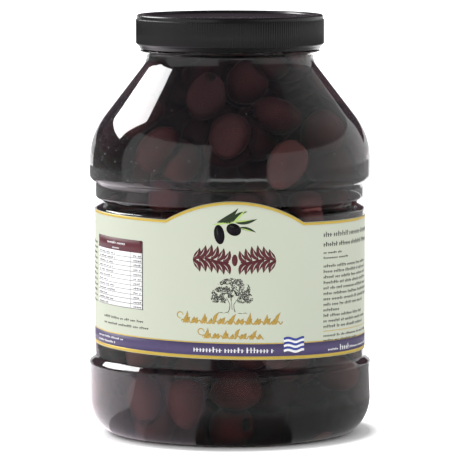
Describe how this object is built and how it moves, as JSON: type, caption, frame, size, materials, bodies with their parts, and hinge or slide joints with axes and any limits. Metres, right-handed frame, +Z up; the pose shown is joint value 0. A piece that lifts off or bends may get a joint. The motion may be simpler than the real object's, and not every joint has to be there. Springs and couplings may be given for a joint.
{
  "type": "jar of olives",
  "caption": "Large wide-mouth clear plastic jar of pitted dark olives in brine, with a ribbed black screw lid and a pale wraparound paper label with an arched top.",
  "frame": {"origin": "middle of the flat foot ring, on the surface the jar stands on", "axes": "+Z up along the jar's axis; the arch of the label faces -Y"},
  "size_m": [0.139, 0.139, 0.2055],
  "materials": {
    "clear_wall": "clear blown plastic, glossy",
    "lid_plastic": "moulded, satin, fine ribs",
    "label_paper": "coated paper, semi-matt print with gold edge lines",
    "brine_liquid": "dark brown-purple brine",
    "olive_skin": "wet, dark red-brown skin"
  },
  "bodies": {
    "root": {"jar": "clear_wall", "lid": "lid_plastic", "label": "label_paper", "brine": "brine_liquid"}
  },
  "joints": []
}
